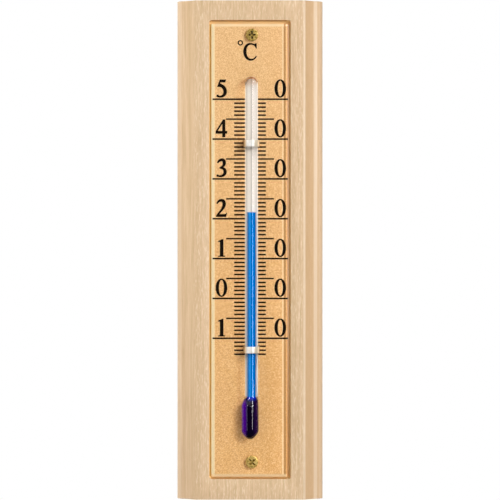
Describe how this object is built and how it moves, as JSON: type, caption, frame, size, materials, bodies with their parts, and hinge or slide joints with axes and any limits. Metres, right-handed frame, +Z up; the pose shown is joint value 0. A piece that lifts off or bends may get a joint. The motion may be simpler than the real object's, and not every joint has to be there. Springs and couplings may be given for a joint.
{
  "type": "room thermometer",
  "caption": "Wall thermometer: a blue liquid column in a glass tube, clipped over a printed metal Celsius scale in a moulded wooden backboard.",
  "frame": {"origin": "middle of the hanging hole's mouth, in the back face of the backboard", "axes": "+X to the right seen from the front, +Y out of the back into the wall, +Z up along the scale"},
  "size_m": [0.045, 0.0153, 0.154],
  "materials": {
    "wood": "fine straight grain, satin",
    "gold_plate": "gold lacquered, finely speckled",
    "ink": "printed ink",
    "glass": "clear, polished",
    "enamel": "opaque white",
    "bulb_liquid": "dyed liquid, deep",
    "column_liquid": "dyed liquid",
    "clip_steel": "bright",
    "screw_brass": "yellow passivated"
  },
  "bodies": {
    "thermometer": {"backboard": "wood", "scale_plate": "gold_plate", "ten_degree_lines": "ink", "five_degree_lines": "ink", "degree_lines": "ink", "left_numerals": "ink", "right_numerals": "ink", "unit_symbol": "ink", "glass_tube": "glass", "enamel_strip": "enamel", "bulb_liquid": "bulb_liquid", "liquid_thread": "column_liquid", "upper_clip": "clip_steel", "lower_clip": "clip_steel", "upper_screw": "screw_brass", "lower_screw": "screw_brass"},
    "column": {"column_top": "column_liquid"}
  },
  "joints": [
    {"name": "column_rise", "type": "slide", "parent": "thermometer", "child": "column", "axis": [0, 0, 1], "range_m": [-0.04378, 0.03493], "deforming": ["liquid_thread"]}
  ]
}
